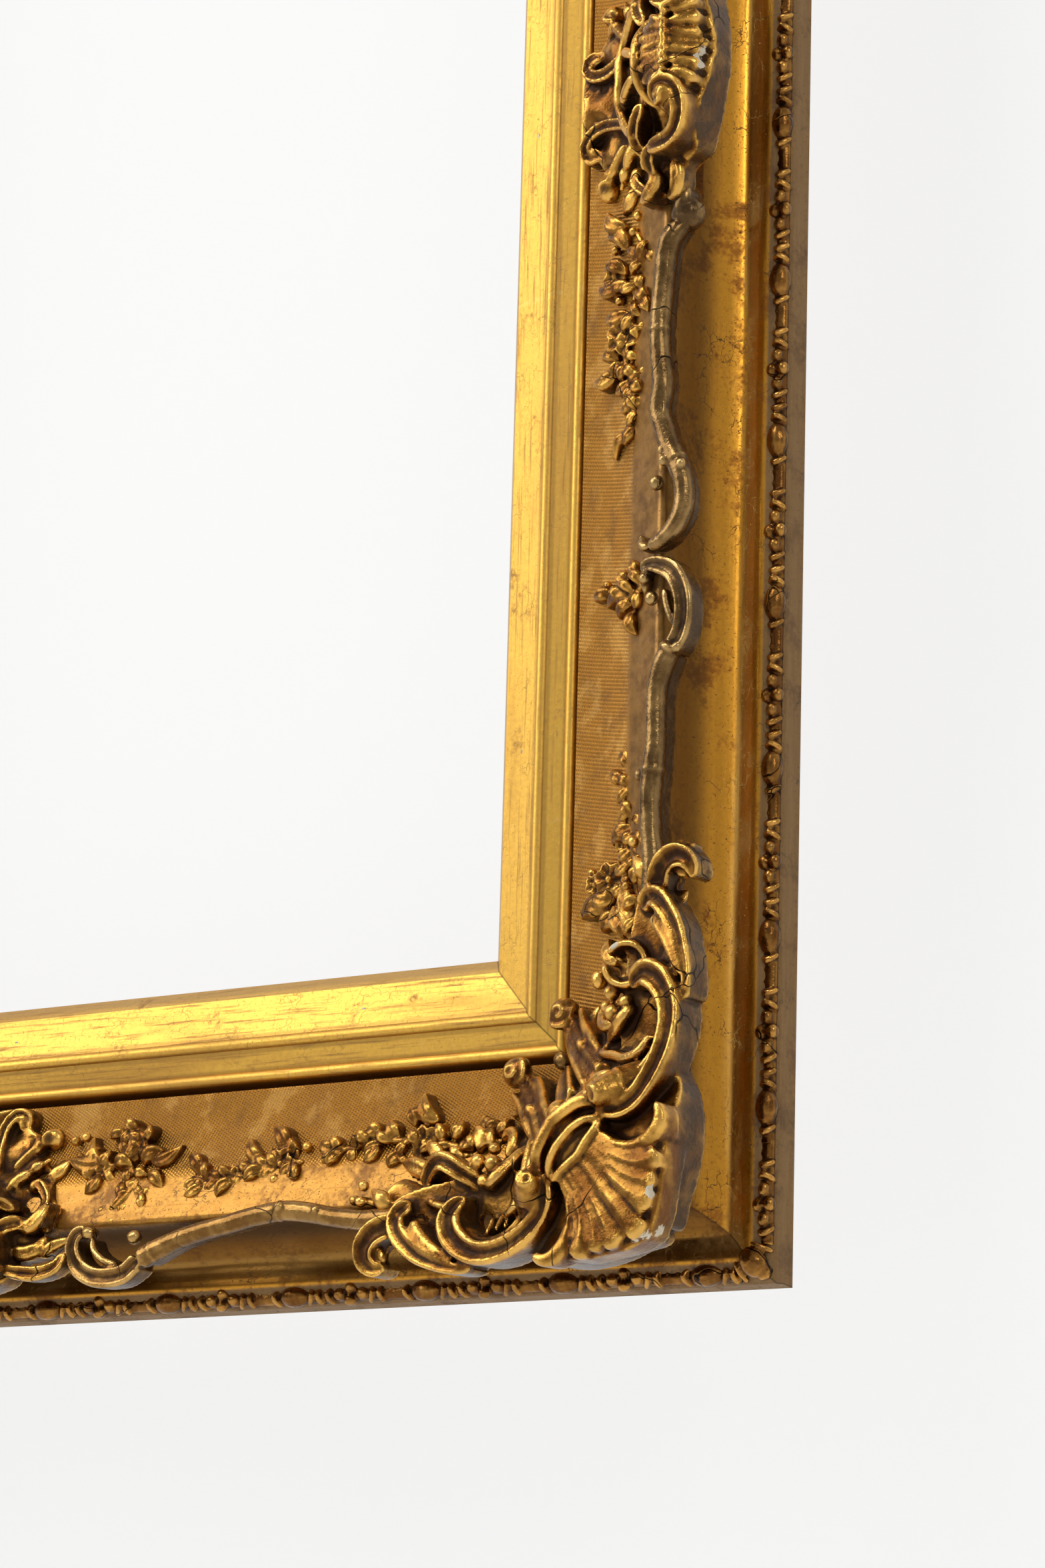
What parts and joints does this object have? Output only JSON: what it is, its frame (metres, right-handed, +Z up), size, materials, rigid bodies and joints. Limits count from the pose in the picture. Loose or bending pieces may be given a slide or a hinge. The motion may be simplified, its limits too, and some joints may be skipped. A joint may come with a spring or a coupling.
{
  "type": "ornate picture frame",
  "caption": "Swept rococo gilt picture frame: pegged pine carcass, cove mouldings, gilt slip, shell corner and centre cartouches, branches, sprays, turn buttons and hanging rings.",
  "frame": {"origin": "middle of the picture in the plane of the wall, where the frame hangs", "axes": "+X to the right seen from the front, +Y back towards the wall, +Z up"},
  "size_m": [0.84, 0.1199, 1.046],
  "materials": {
    "pine": "aged",
    "gilt_wood": "gilded, worn",
    "gilt_slip": "gilded, worn",
    "gilt_composition": "gilded, worn",
    "brass_hardware": "aged",
    "steel_hardware": "darkened",
    "oak_peg": "bare"
  },
  "bodies": {
    "frame": {"carcass_bottom": "pine", "carcass_right": "pine", "carcass_top": "pine", "carcass_left": "pine", "moulding_bottom": "gilt_wood", "moulding_right": "gilt_wood", "moulding_top": "gilt_wood", "moulding_left": "gilt_wood", "slip_bottom": "gilt_slip", "slip_right": "gilt_slip", "slip_top": "gilt_slip", "slip_left": "gilt_slip", "bead_strip_bottom": "gilt_composition", "bead_strip_right": "gilt_composition", "bead_strip_top": "gilt_composition", "bead_strip_left": "gilt_composition", "bead_bud_lower_right": "gilt_composition", "bead_bud_lower_left": "gilt_composition", "bead_bud_upper_right": "gilt_composition", "bead_bud_upper_left": "gilt_composition", "corner_lower_right": "gilt_composition", "corner_lower_left": "gilt_composition", "corner_upper_right": "gilt_composition", "corner_upper_left": "gilt_composition", "centre_bottom": "gilt_composition", "centre_right": "gilt_composition", "centre_top": "gilt_composition", "centre_left": "gilt_composition", "stile_scroll_lower_right": "gilt_composition", "stile_scroll_lower_left": "gilt_composition", "stile_scroll_upper_right": "gilt_composition", "stile_scroll_upper_left": "gilt_composition", "stile_branch_lower_right": "gilt_composition", "stile_branch_lower_left": "gilt_composition", "stile_branch_upper_right": "gilt_composition", "stile_branch_upper_left": "gilt_composition", "rail_branch_lower_right": "gilt_composition", "rail_branch_lower_left": "gilt_composition", "rail_branch_upper_right": "gilt_composition", "rail_branch_upper_left": "gilt_composition", "stile_spray_lower_right": "gilt_composition", "stile_spray_lower_left": "gilt_composition", "stile_spray_upper_right": "gilt_composition", "stile_spray_upper_left": "gilt_composition", "rail_spray_lower_right": "gilt_composition", "rail_spray_lower_left": "gilt_composition", "rail_spray_upper_right": "gilt_composition", "rail_spray_upper_left": "gilt_composition", "hanger_left": "brass_hardware", "hanger_right": "brass_hardware", "screws": "steel_hardware", "slip_brads": "steel_hardware", "lap_pegs": "oak_peg"},
    "button_left_upper_body": {"button_left_upper": "brass_hardware"},
    "button_left_lower_body": {"button_left_lower": "brass_hardware"},
    "button_right_upper_body": {"button_right_upper": "brass_hardware"},
    "button_right_lower_body": {"button_right_lower": "brass_hardware"},
    "button_top_body": {"button_top": "brass_hardware"},
    "ring_left_body": {"ring_left": "brass_hardware"},
    "ring_right_body": {"ring_right": "brass_hardware"}
  },
  "joints": [
    {"name": "button_left_upper_turn", "type": "hinge", "parent": "frame", "child": "button_left_upper_body", "pos_m": [-0.2925, 0.0013, 0.18828], "axis": [0, 1, 0], "continuous": true},
    {"name": "button_left_lower_turn", "type": "hinge", "parent": "frame", "child": "button_left_lower_body", "pos_m": [-0.2925, 0.0013, -0.18828], "axis": [0, 1, 0], "continuous": true},
    {"name": "button_right_upper_turn", "type": "hinge", "parent": "frame", "child": "button_right_upper_body", "pos_m": [0.2925, 0.0013, 0.18828], "axis": [0, 1, 0], "continuous": true},
    {"name": "button_right_lower_turn", "type": "hinge", "parent": "frame", "child": "button_right_lower_body", "pos_m": [0.2925, 0.0013, -0.18828], "axis": [0, 1, 0], "continuous": true},
    {"name": "button_top_turn", "type": "hinge", "parent": "frame", "child": "button_top_body", "pos_m": [0, 0.0013, 0.3955], "axis": [0, 1, 0], "continuous": true},
    {"name": "ring_left_swing", "type": "hinge", "parent": "frame", "child": "ring_left_body", "pos_m": [-0.36555, 0.0043, 0.2615], "axis": [1, 0, 0], "range_deg": [0, 180]},
    {"name": "ring_right_swing", "type": "hinge", "parent": "frame", "child": "ring_right_body", "pos_m": [0.36555, 0.0043, 0.2615], "axis": [1, 0, 0], "range_deg": [0, 180]}
  ]
}
